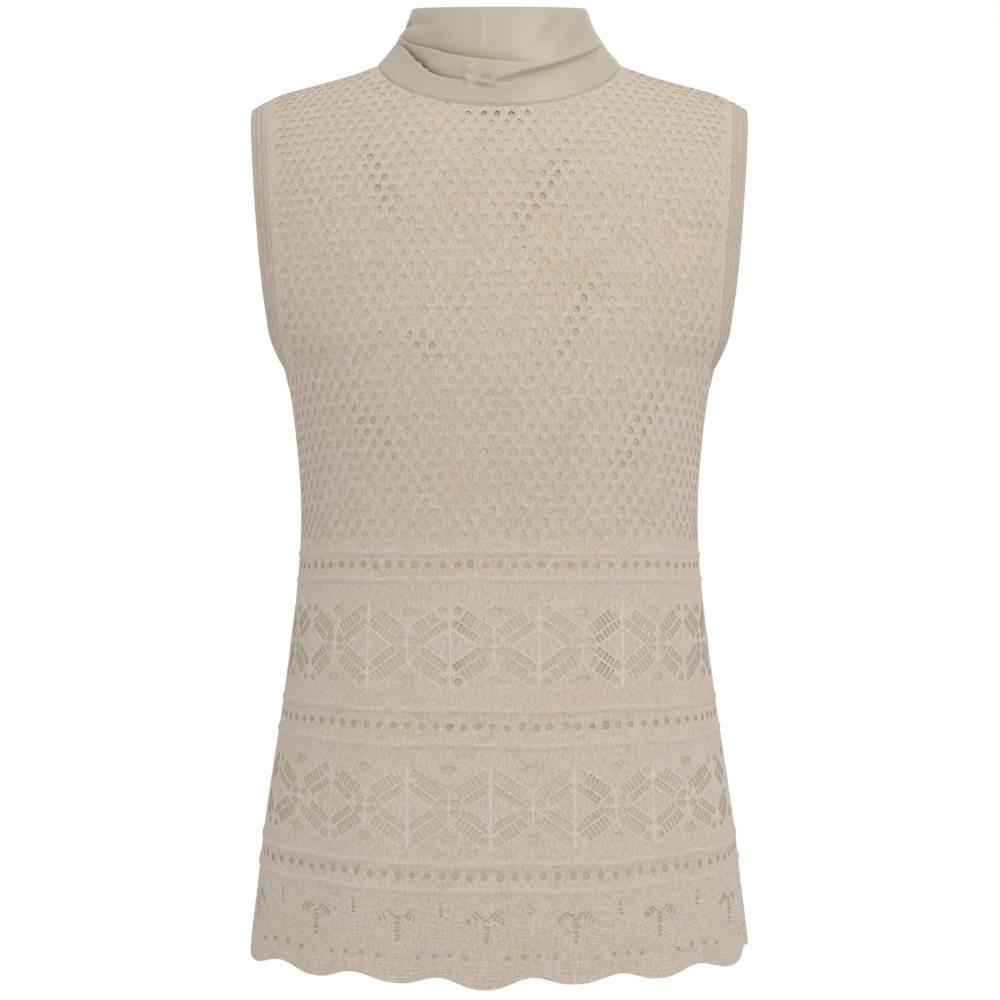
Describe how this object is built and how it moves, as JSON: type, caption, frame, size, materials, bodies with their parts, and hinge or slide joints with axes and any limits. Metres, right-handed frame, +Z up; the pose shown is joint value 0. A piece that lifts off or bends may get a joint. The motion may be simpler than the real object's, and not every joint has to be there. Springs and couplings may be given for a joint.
{
  "type": "knit top",
  "caption": "Sleeveless openwork knit top, lined, with a draped satin collar, ribbed armhole trims and a scalloped hem, in its worn hollow shape.",
  "frame": {"origin": "the middle of the neck base, on the centre line, level with the neck points of the shoulder seams", "axes": "+Z up from hem to collar, -Y the wearer's front, +X the viewer's right when looking at the front"},
  "size_m": [0.332, 0.248, 0.6346],
  "materials": {
    "knit": "soft brushed fine knit, oatmeal melange",
    "lining": "smooth woven lining, beige",
    "rib": "ribbed knit, oatmeal melange",
    "satin": "satin, champagne, soft gloss"
  },
  "bodies": {
    "root": {"knit_front": "knit", "knit_back": "knit", "lining_front": "lining", "lining_back": "lining", "armhole_trim_left": "rib", "armhole_trim_right": "rib", "collar_band": "satin", "collar_roll": "satin"}
  },
  "joints": []
}
